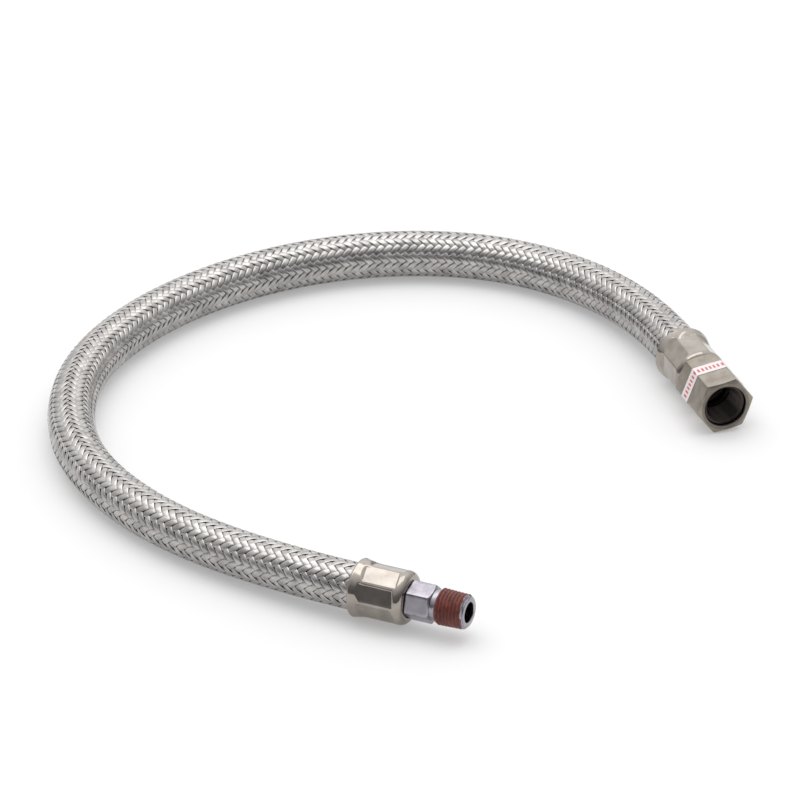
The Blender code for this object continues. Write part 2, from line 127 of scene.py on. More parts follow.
def new_material(name):
    """An empty node material, its node tree and its Principled shader."""
    material = bpy.data.materials.new(name)
    material.use_nodes = True
    tree = material.node_tree
    print("material:", name)
    return material, tree, tree.nodes["Principled BSDF"]


def set_ramp(ramp, stops):
    """Gives a colour ramp node its stops: (position, sRGB hex code) pairs."""
    elements = ramp.color_ramp.elements
    while len(elements) < len(stops):
        elements.new(0.5)
    for element, (position, code) in zip(elements, stops):
        element.position = position
        element.color = linear(code)


# %% [markdown]
# ## Surfaces as grids of points
#
# Nearly every piece here is a ring: a closed outline carried round an axis. Its points form a
# grid, one direction along the outline and the other round the axis, and every four neighbours
# make a face. Blender's own shapes could be cut and joined instead, but a grid of any shape goes
# into a mesh with the same few lines, and its seams and poles are closed from the start.

# %% Grids


def unit(arrows):
    """Arrows divided by their own lengths."""
    return arrows / np.linalg.norm(arrows, axis=-1, keepdims=True)


def grid_faces(rows, columns, close_rows=True):
    """Quads of a grid of points. Its last column joins its first, and so do its rows if closed."""
    index = np.arange(rows * columns).reshape(rows, columns)
    if close_rows:
        index = np.concatenate([index, index[:1]], axis=0)
    index = np.concatenate([index, index[:, :1]], axis=1)
    corners = [index[:-1, :-1], index[:-1, 1:], index[1:, 1:], index[1:, :-1]]
    return np.stack(corners, axis=-1).reshape(-1, 4)


def volume_of(points, faces):
    """Signed volume inside quads: the sum of a . (b x c) / 6 over their two triangles."""
    a, b, c, d = (points[faces[:, k]] for k in range(4))
    return (np.sum(a * np.cross(b, c)) + np.sum(a * np.cross(c, d))) / 6


# %% Meshes


def mesh_piece(name, points, faces, material, body, sharp=None, uv=None):
    """Makes a shaded piece from points and quads, facing outwards, riding on a body.

    sharp is the angle in degrees past which an edge is shaded as a crease.
    """
    points = np.asarray(points, dtype=np.float64).reshape(-1, 3)
    volume = volume_of(points, faces)
    if volume < 0:
        faces = faces[:, ::-1]
        uv = None if uv is None else uv[:, ::-1]
    mesh = bpy.data.meshes.new(name)
    mesh.vertices.add(len(points))
    mesh.vertices.foreach_set("co", points.astype(np.float32).ravel())
    mesh.loops.add(faces.size)
    mesh.loops.foreach_set("vertex_index", faces.astype(np.int32).ravel())
    mesh.polygons.add(len(faces))
    mesh.polygons.foreach_set("loop_start", np.arange(0, faces.size, 4, dtype=np.int32))
    if uv is not None:
        layer = mesh.uv_layers.new(name="UVMap")
        layer.uv.foreach_set("vector", uv.astype(np.float32).ravel())
    mesh.update(calc_edges=True)
    mesh.materials.append(material)
    mesh.shade_smooth()
    if sharp is not None:
        mesh.set_sharp_from_angle(angle=math.radians(sharp))
    piece = bpy.data.objects.new(name, mesh)
    bpy.context.scene.collection.objects.link(piece)
    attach(piece, body)
    print(f"{name}: {len(faces) * 2} triangles, {abs(volume) / MM**3:.0f} mm3")
    return piece


# %% [markdown]
# ## The hose's route
#
# The hose is stiff, so it lies in one open curve. Its centre line is a cubic spline through a
# few points: between two points it is a cubic, and neighbouring cubics share their slope and
# their bend. The two ends leave along the axes of the fittings. A Blender curve could carry a
# plain tube, but the braid needs the distance travelled at every point, so the line is worked
# out here. At each place along it two arrows say which way is sideways and which is up.

# %% Route
MALE_HEADING = math.radians(-45.5)
MALE_RISE = math.radians(0.4)
SWIVEL_HEADING = math.radians(-90.0)
SWIVEL_RISE = 0.0
ROUTE = MM * np.array(
    [
        (-93.0, -49.5, 11.4),
        (-119.0, -18.0, 10.35),
        (-139.5, 14.0, 9.6),
        (-153.5, 49.5, 9.25),
        (-158.0, 88.5, 9.25),
        (-149.5, 127.5, 9.25),
        (-130.0, 161.0, 9.25),
        (-101.0, 187.0, 9.25),
        (-66.0, 204.5, 9.25),
        (-27.5, 212.5, 9.25),
        (11.5, 209.0, 9.25),
        (46.5, 193.0, 9.25),
        (72.0, 165.0, 9.45),
        (85.5, 129.0, 10.55),
        (89.0, 86.2, 11.4),
    ]
)
MALE_RIM = ROUTE[0]  # middle of the male ferrule's mouth
SWIVEL_RIM = ROUTE[-1]  # middle of the swivel ferrule's mouth


def direction(heading, rise):
    """Unit vector at this heading over the floor and this rise above it."""
    level = math.cos(rise)
    return np.array([math.cos(heading) * level, math.sin(heading) * level, math.sin(rise)])


MALE_OUT = direction(MALE_HEADING, MALE_RISE)
SWIVEL_OUT = direction(SWIVEL_HEADING, SWIVEL_RISE)
print("route points:", len(ROUTE))

# %% Centre line
LINE_SAMPLES = 3000
TUCK = 7.0 * MM  # how far the dressed hose runs on inside each ferrule
TUCK_SAMPLES = 20


def spline_through(knots, start, end, count):
    """Points of the cubic spline through the knots, with these unit slopes at its two ends.

    The slopes between come from one linear system: the bend must not jump at any knot.
    """
    gaps = np.linalg.norm(np.diff(knots, axis=0), axis=1)
    at = np.concatenate([[0.0], np.cumsum(gaps)])
    inner = np.arange(1, len(knots) - 1)
    system = np.zeros((len(knots), len(knots)))
    wanted = np.zeros((len(knots), 3))
    system[0, 0] = system[-1, -1] = 1.0
    wanted[0], wanted[-1] = start, end
    system[inner, inner - 1] = 1 / gaps[:-1]
    system[inner, inner] = 2 / gaps[:-1] + 2 / gaps[1:]
    system[inner, inner + 1] = 1 / gaps[1:]
    rises = np.diff(knots, axis=0) / gaps[:, None] ** 2
    wanted[1:-1] = 3 * (rises[:-1] + rises[1:])
    slopes = np.linalg.solve(system, wanted)
    at_fine = np.linspace(0, at[-1], count)
    k = np.clip(np.searchsorted(at, at_fine, side="right") - 1, 0, len(knots) - 2)
    h = gaps[k][:, None]
    t = (at_fine - at[k])[:, None] / h
    return (
        (2 * t**3 - 3 * t**2 + 1) * knots[k]
        + (t**3 - 2 * t**2 + t) * h * slopes[k]
        + (3 * t**2 - 2 * t**3) * knots[k + 1]
        + (t**3 - t**2) * h * slopes[k + 1]
    )


def lengths_along(points):
    """Distance travelled at each point of a line."""
    steps = np.linalg.norm(np.diff(points, axis=0), axis=1)
    return np.concatenate([[0.0], np.cumsum(steps)])


free_line = spline_through(ROUTE, -MALE_OUT, SWIVEL_OUT, LINE_SAMPLES)
tuck_steps = np.linspace(1, 0, TUCK_SAMPLES, endpoint=False)[:, None]
centre_line = np.vstack(
    [
        free_line[0] + tuck_steps * TUCK * MALE_OUT,
        free_line,
        free_line[-1] + tuck_steps[::-1] * TUCK * SWIVEL_OUT,
    ]
)
line_at = lengths_along(centre_line)
print(f"hose between the ferrules: {lengths_along(free_line)[-1] / MM:.1f} mm")

# %% Frame along the centre line
FRAME_STEP = 0.5 * MM
CRIMP_REACH = 3.0 * MM  # how far outside a ferrule the hose starts to narrow
CRIMP_PER_MM = 0.0019


def point_at(distance):
    """Points of the centre line at these distances along it."""
    parts = [np.interp(distance, line_at, centre_line[:, k]) for k in range(3)]
    return np.stack(parts, axis=-1)


def hose_frame(distance):
    """Centre, sideways arrow and upward arrow at these distances along the centre line."""
    fore = np.clip(distance + FRAME_STEP, 0, line_at[-1])
    aft = np.clip(distance - FRAME_STEP, 0, line_at[-1])
    ahead = unit(point_at(fore) - point_at(aft))
    side = unit(np.cross(ahead, [0.0, 0.0, 1.0]))
    return point_at(distance), side, np.cross(side, ahead)


def squeeze(distance):
    """How the crimps narrow the hose: by a steady share of its radius for each millimetre."""
    inside = np.maximum(TUCK - distance, distance - (line_at[-1] - TUCK)) + CRIMP_REACH
    return 1 - CRIMP_PER_MM * np.maximum(inside, 0) / MM


# %% [markdown]
# ## The steel braid
#
# The hose wears a tube braided from flat bundles of stainless wire. Half the bundles wind to
# the right and half to the left, and each one passes over two, then under two. The real braid
# could be faked with a bump map, but its bright floats and dark gaps are what the eye sees
# first, so every bundle is built as a ribbon of its own.
#
# A bundle is a helix round the hose. Its radius swells and sinks in a wave, out of step with
# the bundles that cross it. The wave's phase comes from counting crossings: bundle i of one
# hand meets bundle j of the other where j - i equals twice the distance over the repeat.

# %% Braid material
# Drawn stainless wire, bright annealed. Each bundle has eight wires side by side, 0.3 mm apart.
# Their round backs spread a reflection across the bundle and keep it narrow along it, so the
# shader's anisotropy is nearly full. Its tangent runs across the bundle, which is the first axis
# of the UV map.
WIRES = 8
steel_braid, tree, shader = new_material("drawn_stainless_wire")
where = add(tree, "ShaderNodeTexCoord")
across = add(tree, "ShaderNodeSeparateXYZ", {"Vector": where.outputs["UV"]})
wires = add(
    tree,
    "ShaderNodeMath",
    {0: across.outputs["X"], 1: WIRES * 2 * math.pi},
    operation="MULTIPLY",
)
groove = add(tree, "ShaderNodeMath", {0: wires.outputs[0]}, operation="COSINE")
wear = add(
    tree,
    "ShaderNodeTexNoise",
    {"Vector": where.outputs["Object"], "Scale": 220.0, "Detail": 3.0, "Roughness": 0.6},
)
tone = add(tree, "ShaderNodeValToRGB", {"Fac": wear.outputs["Fac"]})
set_ramp(tone, [(0.3, "#949190"), (0.7, "#c4c1be")])
gloss = add(
    tree,
    "ShaderNodeMapRange",
    {
        "Value": wear.outputs["Fac"],
        "From Min": 0.3,
        "From Max": 0.7,
        "To Min": 0.16,
        "To Max": 0.25,
    },
)
relief = add(
    tree,
    "ShaderNodeBump",
    {"Height": groove.outputs[0], "Strength": 0.25, "Distance": 0.02 * MM},
)
tangent = add(tree, "ShaderNodeTangent", direction_type="UV_MAP", uv_map="UVMap")
tree.links.new(tone.outputs["Color"], shader.inputs["Base Color"])
tree.links.new(gloss.outputs["Result"], shader.inputs["Roughness"])
tree.links.new(relief.outputs["Normal"], shader.inputs["Normal"])
tree.links.new(tangent.outputs["Tangent"], shader.inputs["Tangent"])
shader.inputs["Metallic"].default_value = 1.0
shader.inputs["Anisotropic"].default_value = 0.9

# %% Braid sizes
CARRIERS = 16  # bundles wound each way
BRAID_ROLL = math.radians(15.0)  # turns the rows of chevrons round the hose
BRAID_TWIST = math.radians(12.0)  # how much further they have wandered at its far end
REPEAT_MALE_END = 3.9 * MM  # distance along the hose between neighbours of one hand
REPEAT_ELSEWHERE = 3.5 * MM
REPEAT_CHANGE_AT = 225 * MM
REPEAT_CHANGE_OVER = 60 * MM
BRAID_MEAN_RADIUS = 8.7 * MM
BRAID_WAVE = 0.33 * MM
BUNDLE_COVER = 0.95  # share of the room between its neighbours that a bundle fills
BUNDLE_THICKNESS = 0.24 * MM
BUNDLE_CROWN = 0.14 * MM
BUNDLE_EDGE = 0.2  # share of its upper half that a bundle keeps at its edges
BELLY_HALF = 0.85  # half width of its underside, where the bundle's own is 1
BELLY_DROP = 0.03 * MM
SAMPLES_PER_WAVE = 12
COUNTING_STEPS = 4000


def repeat_length(distance):
    """The repeat at each distance: one length, easing into the other with a tanh."""
    change = 0.5 + 0.5 * np.tanh((distance - REPEAT_CHANGE_AT) / REPEAT_CHANGE_OVER)
    return REPEAT_MALE_END + (REPEAT_ELSEWHERE - REPEAT_MALE_END) * change


def braid_count(distance):
    """Repeats passed at each distance: the running sum of 1 / repeat length."""
    return np.concatenate([[0.0], np.cumsum(np.diff(distance) / repeat_length(distance)[:-1])])


def bundle_width(distance):
    """Width of a bundle: its share of 1 / hypot(n / circumference, 1 / repeat)."""
    around = CARRIERS / (2 * math.pi * BRAID_MEAN_RADIUS)
    return BUNDLE_COVER / np.hypot(around, 1 / repeat_length(distance))


def bundle_section():
    """Outline of a bundle, x from -1 to 1: a crowned top, c (1 - x^2), over a flatter underside."""
    x = np.array([-1, -0.9, -0.5, 0, 0.5, 0.9, 1])
    top = np.stack([x, BUNDLE_THICKNESS / 2 + BUNDLE_CROWN * (1 - x**2)], axis=-1)
    top[[0, -1], 1] *= BUNDLE_EDGE
    base = -BUNDLE_THICKNESS / 2
    low = [(BELLY_HALF, base), (0.0, base - BELLY_DROP), (-BELLY_HALF, base)]
    return np.vstack([top, low])


print(f"a bundle is {bundle_width(0.0) / MM:.2f} mm wide at the male end")

# %% Braid ribbons


def braid_ribbons(hand, members):
    """Points of some bundles of one hand, as (bundle, along, round the section, xyz).

    The centre of bundle i stands at angle roll + hand * 2 pi u / n + 2 pi i / n, where u counts
    the repeats, and at radius r + a sin(pi / 2 (2 u + 2 i + 1/2)), with the sign and the count
    turned for the other hand, so that one is up where the other is down. A slow twist, in
    proportion to the distance, is added to every angle.
    """
    fine = np.linspace(0, line_at[-1], COUNTING_STEPS)
    counted = braid_count(fine)
    samples = int(counted[-1] * SAMPLES_PER_WAVE / 2)
    u = np.linspace(0, counted[-1], samples)[None, :]
    distance = np.interp(u[0], counted, fine)
    i = np.array(members)[:, None]
    twist = BRAID_TWIST * distance / line_at[-1]
    angle = BRAID_ROLL + twist + 2 * math.pi / CARRIERS * (hand * u + i)
    wave = hand * np.sin(math.pi / 2 * (hand * 2 * u + 2 * i + 0.5))
    centre, side, upper = hose_frame(distance)
    outward = np.cos(angle)[..., None] * upper + np.sin(angle)[..., None] * side
    radius = (BRAID_MEAN_RADIUS + BRAID_WAVE * wave) * squeeze(distance)
    middle = centre + radius[..., None] * outward
    along = unit(np.gradient(middle, axis=1))
    across = unit(np.cross(along, outward))
    lift = np.cross(across, along)
    outline = bundle_section()
    x = outline[:, 0][:, None] * bundle_width(distance)[:, None, None] / 2
    y = outline[:, 1][:, None]
    points = middle[:, :, None] + x * across[:, :, None] + y * lift[:, :, None]
    return points, distance


def capped_ribbons(name, hand, members):
    """One piece of several ribbons, each drawn shut at its two ends."""
    points, distance = braid_ribbons(hand, members)
    count, rows, columns, _ = points.shape
    tips = [row.mean(axis=2, keepdims=True) for row in (points[:, :1], points[:, -1:])]
    first, last = (np.repeat(tip, columns, axis=2) for tip in tips)
    points = np.concatenate([first, points, last], axis=1)
    rows += 2
    one = grid_faces(rows, columns, close_rows=False)
    faces = np.concatenate([one + k * rows * columns for k in range(count)])
    u = (bundle_section()[:, 0] + 1) / 2
    along = np.concatenate([[distance[0]], distance, [distance[-1]]])
    v = along / bundle_width(along)
    coordinates = np.stack(np.broadcast_arrays(u[None, :], v[:, None]), axis=-1)
    uv = np.tile(coordinates.reshape(-1, 2)[one], (count, 1, 1))
    return mesh_piece(name, points, faces, steel_braid, STEMS_BODY, uv=uv)


half = CARRIERS // 2
braid = [
    capped_ribbons("braid_right_hand_a", 1, range(half)),
    capped_ribbons("braid_right_hand_b", 1, range(half, CARRIERS)),
    capped_ribbons("braid_left_hand_a", -1, range(half)),
    capped_ribbons("braid_left_hand_b", -1, range(half, CARRIERS)),
]
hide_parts("steel_overbraid")

# %% [markdown]
# ## Inside the braid
#
# Under the steel lie a black rubber cover, a layer of yarn and an oil-proof rubber liner. Only
# the cover shows, as the dark between the bundles. A dark core could stand for all three, but
# they are pieces of the real hose, so each is a plain tube along the same route with its own
# wall.

# %% Rubber and yarn
# Vulcanised rubber, moulded smooth: nearly black, with a soft broad shine.
cover_rubber, tree, shader = new_material("vulcanised_rubber")
where = add(tree, "ShaderNodeTexCoord")
grain = add(tree, "ShaderNodeTexNoise", {"Vector": where.outputs["Object"], "Scale": 900.0})
tone = add(tree, "ShaderNodeValToRGB", {"Fac": grain.outputs["Fac"]})
set_ramp(tone, [(0.35, "#121213"), (0.65, "#242326")])
relief = add(tree, "ShaderNodeBump", {"Height": grain.outputs["Fac"], "Distance": 0.05 * MM})
tree.links.new(tone.outputs["Color"], shader.inputs["Base Color"])
tree.links.new(relief.outputs["Normal"], shader.inputs["Normal"])
shader.inputs["Roughness"].default_value = 0.62

# Polyester yarn, braided: pale, with a fuzzy sheen. Its bands are 1.8 mm apart. Diagonal bands
# repeat each time that the scale times x + y + z grows by a tenth of 2 pi.
YARN_BAND = 1.8225 * MM
yarn, tree, shader = new_material("polyester_yarn")
where = add(tree, "ShaderNodeTexCoord")
threads = add(
    tree,
    "ShaderNodeTexWave",
    {
        "Vector": where.outputs["Object"],
        "Scale": 2 * math.pi / (10 * math.sqrt(3) * YARN_BAND),
        "Distortion": 1.0,
    },
    bands_direction="DIAGONAL",
)
tone = add(tree, "ShaderNodeValToRGB", {"Fac": threads.outputs["Fac"]})
set_ramp(tone, [(0.2, "#8f846f"), (0.8, "#c9bfa8")])
tree.links.new(tone.outputs["Color"], shader.inputs["Base Color"])
shader.inputs["Roughness"].default_value = 0.9
shader.inputs["Sheen Weight"].default_value = 0.3

# %% Inner tubes
COVER_RADII = (8.2 * MM, 7.2 * MM)
YARN_RADII = (6.85 * MM, 6.35 * MM)
LINER_RADII = (6.05 * MM, 4.75 * MM)
TUBE_INSET = 0.2 * MM
TUBE_SIDES = 32
TUBE_STATIONS = 260


def hose_tube(name, radii, material, node):
    """A tube along the route: outer wall out, inner wall back, joined at both ends."""
    there = np.linspace(TUBE_INSET, line_at[-1] - TUBE_INSET, TUBE_STATIONS)
    distance = np.concatenate([there, there[::-1]])
    radius = np.repeat(radii, TUBE_STATIONS) * squeeze(distance)
    centre, side, upper = hose_frame(distance)
    angle = np.linspace(0, 2 * math.pi, TUBE_SIDES, endpoint=False)[None, :, None]
    outward = np.cos(angle) * upper[:, None] + np.sin(angle) * side[:, None]
    points = centre[:, None] + radius[:, None, None] * outward
    faces = grid_faces(2 * TUBE_STATIONS, TUBE_SIDES)
    piece = mesh_piece(name, points, faces, material, STEMS_BODY, sharp=40)
    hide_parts(node)
    return piece


inside = [
    hose_tube("cover_tube", COVER_RADII, cover_rubber, "hose_cover"),
    hose_tube("yarn_tube", YARN_RADII, yarn, "hose_reinforcement"),
    hose_tube("liner_tube", LINER_RADII, cover_rubber, "hose_liner"),
]

# %% [markdown]
# ## A fitting's own axes
#
# Each fitting is easiest to describe standing up: z runs along its axis from the mouth of the
# ferrule, and angles are counted from the upper side towards its right. The object could be
# turned into place instead, but an exported piece stands at the origin, unturned, so one
# function lays its points down along the hose.

# %% Fitting frame


def lay_down(points, rim, out):
    """Turns points from a fitting's own axes (right, up, out) into the model's frame."""
    right = unit(np.cross(out, [0.0, 0.0, 1.0]))
    upper = np.cross(right, out)
    return rim + points @ np.stack([right, upper, out])


def turned(z, radius, angle):
    """Grid of points at height z and radius round the axis: (r sin a, r cos a, z)."""
    z = np.broadcast_to(z, radius.shape)
    return np.stack([radius * np.sin(angle), radius * np.cos(angle), z], axis=-1)


def plain_rings(stations, angle):
    """Heights and radii of round stations, given as (height, radius) pairs in millimetres."""
    heights, radii = np.array(stations).T * MM
    return heights, np.repeat(radii[:, None], len(angle), axis=1)


def ring_piece(name, rings, angle, rim, out, material, body, sharp=35):
    """A closed ring from several (heights, radii) parts, each with a radius at every angle."""
    z = np.concatenate([heights for heights, _ in rings])
    radius = np.concatenate([radii for _, radii in rings])
    points = lay_down(turned(z[:, None], radius, angle), rim, out)
    faces = grid_faces(*radius.shape)
    return mesh_piece(name, points, faces, material, body, sharp=sharp)


def soft_min(a, b, blend):
    """The smaller of a and b with a rounded corner: -k ln(exp(-a/k) + exp(-b/k))."""
    low = np.minimum(a, b)
    return low - blend * np.log(np.exp((low - a) / blend) + np.exp((low - b) / blend))


# %% [markdown]
# ## Ferrules
#
# A ferrule is a steel sleeve pushed over the end of the hose and squeezed by a ring of eight
# dies. Each die leaves a long flat, with a rounded ridge between it and the next one. The ends
# stay round: a flared mouth for the hose and a rounded nose towards the fitting.
#
# The flats could be cut with booleans, but those leave hard edges all round. Here the surface is
# a radius that depends on height and angle. The round body gives one radius, the flat of the
# nearest die another, and the piece takes the smaller of the two with a rounded edge between
# them. That is what pressing does.

# %% Nickel plate
# Bright nickel over pressed steel: warmer and darker than chrome, polished, with faint waviness
# from the pressing and a breath of tarnish.
nickel, tree, shader = new_material("bright_nickel_plate")
where = add(tree, "ShaderNodeTexCoord")
cloud = add(
    tree,
    "ShaderNodeTexNoise",
    {"Vector": where.outputs["Object"], "Scale": 160.0, "Detail": 4.0, "Roughness": 0.55},
)
tone = add(tree, "ShaderNodeValToRGB", {"Fac": cloud.outputs["Fac"]})
set_ramp(tone, [(0.3, "#918a83"), (0.7, "#aca59d")])
gloss = add(
    tree,
    "ShaderNodeMapRange",
    {
        "Value": cloud.outputs["Fac"],
        "From Min": 0.3,
        "From Max": 0.7,
        "To Min": 0.07,
        "To Max": 0.15,
    },
)
waviness = add(
    tree,
    "ShaderNodeTexNoise",
    {"Vector": where.outputs["Object"], "Scale": 420.0, "Detail": 2.0},
)
relief = add(
    tree,
    "ShaderNodeBump",
    {"Height": waviness.outputs["Fac"], "Strength": 0.35, "Distance": 0.05 * MM},
)
tree.links.new(tone.outputs["Color"], shader.inputs["Base Color"])
tree.links.new(gloss.outputs["Result"], shader.inputs["Roughness"])
tree.links.new(relief.outputs["Normal"], shader.inputs["Normal"])
shader.inputs["Metallic"].default_value = 1.0

# %% Ferrule sizes
FERRULE_LENGTH = 22.0 * MM
FERRULE_BODY = 10.5 * MM  # radius of the straight body
FERRULE_NOSE = 7.6 * MM  # radius at the end of the nose
NOSE_DEPTH = 2.9 * MM
NOSE_ROUNDNESS = 2.2  # 2 would be an ellipse, and more is squarer
NOSE_FROM = 0.12  # where the nose's samples start, in radians of its quarter turn
RIM_RADIUS = 11.4 * MM
FLARE_DEPTH = 6.0 * MM
FLARE_POWER = 1.6
LIP_DEPTH = 0.8 * MM
LIP_DROP = 0.6 * MM
# The inside, from the nose's face back to the mouth: height and radius in millimetres.
FERRULE_BORE = [
    (22.0, 6.45),
    (21.85, 6.3),
    (20.7, 6.3),
    (20.7, 9.15),
    (12.0, 9.3),
    (4.2, 9.42),
    (2.0, 9.75),
    (0.6, 10.25),
    (0.15, 10.5),
]
BODY_FROM = 1.0 * MM  # height above the mouth at which the even stations start
MOUTH_STATIONS = 8
BODY_STATIONS = 74
NOSE_STATIONS = 14
DIES = 8
ANGLES_PER_DIE = 30
FLAT_APOTHEM = 9.8 * MM
DIE_SKEW = 0.6 * MM  # the dies stand a little askew, so one edge of a flat starts later
SHOULDER_SLOPE = 1.5
RIDGE_SLOPE = 1.2
PRESSED_EDGE = 0.06 * MM
# Each end was pressed by its own set of dies: where a flat starts and ends above the mouth, how
# steeply it starts, and half of the angle that one die covers.
MALE_DIES = {"start": 4.7 * MM, "end": 18.2 * MM, "lead_in": 0.8, "half": math.radians(17.8)}
SWIVEL_DIES = {"start": 5.2 * MM, "end": 18.8 * MM, "lead_in": 0.5, "half": math.radians(20.5)}
MALE_FERRULE_ROLL = math.radians(2.0)
SWIVEL_FERRULE_ROLL = math.radians(22.5)


# %% Ferrule shape


def round_profile(z):
    """Radius of the uncrimped sleeve: a flared mouth, a straight body and a rounded nose."""
    widening = RIM_RADIUS - FERRULE_BODY
    flare = widening * np.clip(1 - (z - LIP_DEPTH) / FLARE_DEPTH, 0, 1) ** FLARE_POWER
    lip = np.clip(1 - z / LIP_DEPTH, 0, 1)
    flare = flare - LIP_DROP * (1 - np.sqrt(1 - lip**2))
    t = np.clip((z - FERRULE_LENGTH) / NOSE_DEPTH + 1, 0, 1)
    nose = (FERRULE_BODY - FERRULE_NOSE) * (1 - np.sqrt(1 - t**NOSE_ROUNDNESS))
    return FERRULE_BODY + flare - nose


def crimped_radius(z, angle, roll, dies):
    """The sleeve pressed by its dies: soft minimum of the round body and the nearest flat.

    A flat is a plane, apothem / cos. Behind its start it rises to meet the flare, in front of
    its end it rises steeply to the shoulder, and past the sides of its die the metal stays up as
    a rounded ridge.
    """
    step = 2 * math.pi / DIES
    off = ((angle - roll) % step - step / 2)[None, :]
    along = z[:, None] - DIE_SKEW * off / (step / 2)
    outside = np.maximum(dies["start"] - along, 0) * dies["lead_in"]
    outside = outside + np.maximum(along - dies["end"], 0) * SHOULDER_SLOPE
    beside = np.maximum(np.abs(off) - dies["half"], 0) * FERRULE_BODY * RIDGE_SLOPE
    pressed = (FLAT_APOTHEM + outside) / np.cos(off) + beside
    return soft_min(round_profile(z)[:, None], pressed, PRESSED_EDGE)


def make_ferrule(name, roll, dies, rim, out, node):
    """Outer wall from mouth to nose, then the nose's face and the bore back to the mouth."""
    angle = roll + np.linspace(0, 2 * math.pi, DIES * ANGLES_PER_DIE, endpoint=False)
    mouth = LIP_DEPTH * (1 - np.cos(np.linspace(0, math.pi / 2, MOUTH_STATIONS)))
    body = np.linspace(BODY_FROM, FERRULE_LENGTH - NOSE_DEPTH, BODY_STATIONS)
    round_off = np.sin(np.linspace(NOSE_FROM, math.pi / 2, NOSE_STATIONS))
    nose = FERRULE_LENGTH - NOSE_DEPTH * (1 - round_off)
    z = np.concatenate([mouth, body, nose])
    rings = [(z, crimped_radius(z, angle, roll, dies)), plain_rings(FERRULE_BORE, angle)]
    piece = ring_piece(name, rings, angle, rim, out, nickel, STEMS_BODY, sharp=50)
    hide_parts(node)


make_ferrule(
    "crimped_sleeve_male", MALE_FERRULE_ROLL, MALE_DIES, MALE_RIM, MALE_OUT, "male_ferrule"
)
make_ferrule(
    "crimped_sleeve_swivel",
    SWIVEL_FERRULE_ROLL,
    SWIVEL_DIES,
    SWIVEL_RIM,
    SWIVEL_OUT,
    "swivel_ferrule",
)

# %% [markdown]
# ## Hexagons and threads
#
# A hexagon is bar stock turned on a lathe: flats as delivered, and a cone cut over its corners
# at each end. So its radius is the smaller of two again, the flat's and the cone's. A thread is
# a V-shaped ridge whose place along the axis moves on by one pitch for each turn, which makes it
# a wave of height minus angle. A Screw modifier could wind the ridge, but it would stop dead at
# both ends, and a wave can fade in and run out as a cut thread does.

# %% Turned shapes
PITCH = 25.4 / 18 * MM
V_SLOPE = 1.732  # how deep a 60 degree V falls for each step away from its crest
CREST_FLAT = 0.18 * MM
CORNER_CUT = 0.12 * MM
CORNER_BLEND = 0.05 * MM


def hexagon_angles(roll):
    """Angles round a hexagon, close together at its corners so that they stay crisp."""
    steps = np.array([0, 0.7, 1.6, 4, 9, 15, 22, 30, 38, 45, 51, 56, 58.4, 59.3])
    return roll + np.radians(np.concatenate([steps + 60 * k for k in range(6)]))


def hexagon_radius(angle, roll, apothem, corner_cut=CORNER_CUT):
    """Distance from the axis to a hexagon's side, apothem / cos, with slightly rounded corners."""
    off = (angle - roll) % (math.pi / 3) - math.pi / 6
    corner = apothem / math.cos(math.pi / 6)
    return soft_min(apothem / np.cos(off), np.full_like(off, corner - corner_cut), CORNER_BLEND)


def hexagon_bar(start, end, hexagon, chamfer, back, front):
    """Heights and radii of hexagon bar whose corners are turned off at both ends.

    chamfer lists depths below an end, and back and front hold the radius of that end's round
    face and the slope of its cone. The radius is the smaller of the hexagon's and the cone's.
    """
    back_cone = back[0] + chamfer * back[1]
    front_cone = front[0] + chamfer[::-1] * front[1]
    z = np.concatenate([start + chamfer, end - chamfer[::-1]])
    return z, np.minimum(hexagon, np.concatenate([back_cone, front_cone])[:, None])


def thread_wave(z, angle, start, height):
    """Depth below the crest of a 60 degree V thread, in proportion to the way from the crest."""
    turn = (z - start) / PITCH - angle / (2 * math.pi)
    from_crest = np.abs(turn % 1.0 - 0.5) * PITCH
    return np.clip((from_crest - CREST_FLAT / 2) * V_SLOPE, 0, height)


print(f"thread pitch: {PITCH / MM:.3f} mm")

# %% [markdown]
# ## The male stem
#
# The fixed end is one piece turned from hexagon bar: a neck, the hexagon that a wrench holds, a
# relief groove and a tapered pipe thread, with a bore right through and a tail inside the hose.
# It could be joined from a cylinder, a hexagon and a cone. One closed ring that runs over the
# outside and back through the bore has no joins to hide, just as the real one has none.

# %% Zinc plate
# Zinc on turned steel, passivated: pale and slightly violet, with a fine unevenness about 0.4 mm
# across that shows as a satin shine.
zinc, tree, shader = new_material("zinc_plated_steel")
where = add(tree, "ShaderNodeTexCoord")
cloud = add(
    tree,
    "ShaderNodeTexNoise",
    {"Vector": where.outputs["Object"], "Scale": 260.0, "Detail": 5.0, "Roughness": 0.6},
)
tone = add(tree, "ShaderNodeValToRGB", {"Fac": cloud.outputs["Fac"]})
set_ramp(tone, [(0.3, "#8b868e"), (0.7, "#aba7af")])
gloss = add(
    tree,
    "ShaderNodeMapRange",
    {
        "Value": cloud.outputs["Fac"],
        "From Min": 0.3,
        "From Max": 0.7,
        "To Min": 0.16,
        "To Max": 0.28,
    },
)
fine = add(
    tree,
    "ShaderNodeTexNoise",
    {"Vector": where.outputs["Object"], "Scale": 2400.0, "Detail": 2.0},
)
relief = add(
    tree,
    "ShaderNodeBump",
    {"Height": fine.outputs["Fac"], "Strength": 0.25, "Distance": 0.03 * MM},
)
tree.links.new(tone.outputs["Color"], shader.inputs["Base Color"])
tree.links.new(gloss.outputs["Result"], shader.inputs["Roughness"])
tree.links.new(relief.outputs["Normal"], shader.inputs["Normal"])
shader.inputs["Metallic"].default_value = 1.0

